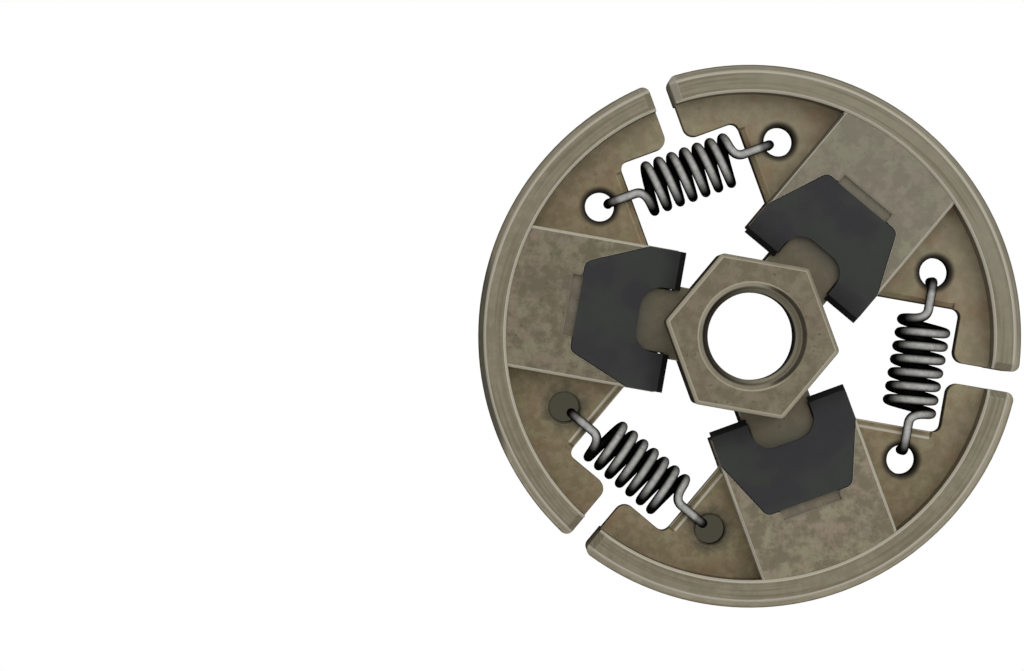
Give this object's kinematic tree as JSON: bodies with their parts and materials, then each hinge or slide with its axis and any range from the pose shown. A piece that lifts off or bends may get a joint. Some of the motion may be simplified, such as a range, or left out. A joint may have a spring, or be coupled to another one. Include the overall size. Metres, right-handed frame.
{
  "type": "chainsaw clutch",
  "caption": "Centrifugal clutch: a threaded hexagon carrier with arms, friction shoes sliding on moulded retainers, and tension springs that draw the shoes in.",
  "frame": {"origin": "on the clutch axis, at the back face", "axes": "+Z along the axis, out of the hexagon; the first arm lies at 50 degrees from +X"},
  "size_m": [0.068, 0.068, 0.018],
  "materials": {
    "carrier_steel": "sintered steel, brown-grey, matt with a light oil sheen",
    "shoe_steel": "sintered steel, brown-grey, matt, paler on the rim",
    "black_plastic": "moulded, charcoal black, satin",
    "spring_steel": "dark drawn wire, bright on the crests"
  },
  "bodies": {
    "carrier": {"clutch_carrier": "carrier_steel"},
    "shoe_set_1": {"shoe_1": "shoe_steel", "retainer_1": "black_plastic", "tension_spring_1": "spring_steel"},
    "shoe_set_2": {"shoe_2": "shoe_steel", "retainer_2": "black_plastic", "tension_spring_2": "spring_steel"},
    "shoe_set_3": {"shoe_3": "shoe_steel", "retainer_3": "black_plastic", "tension_spring_3": "spring_steel"}
  },
  "joints": [
    {"name": "shoe_1_slide", "type": "slide", "parent": "carrier", "child": "shoe_set_1", "axis": [0.6428, 0.766, 0], "range_m": [0, 0.001], "stiffness_N_per_m": 24000, "deforming": ["tension_spring_1", "tension_spring_3"]},
    {"name": "shoe_2_slide", "type": "slide", "parent": "carrier", "child": "shoe_set_2", "axis": [-0.9848, 0.1736, 0], "range_m": [0, 0.001], "stiffness_N_per_m": 24000, "deforming": ["tension_spring_2", "tension_spring_1"]},
    {"name": "shoe_3_slide", "type": "slide", "parent": "carrier", "child": "shoe_set_3", "axis": [0.342, -0.9397, 0], "range_m": [0, 0.001], "stiffness_N_per_m": 24000, "deforming": ["tension_spring_3", "tension_spring_2"]}
  ]
}
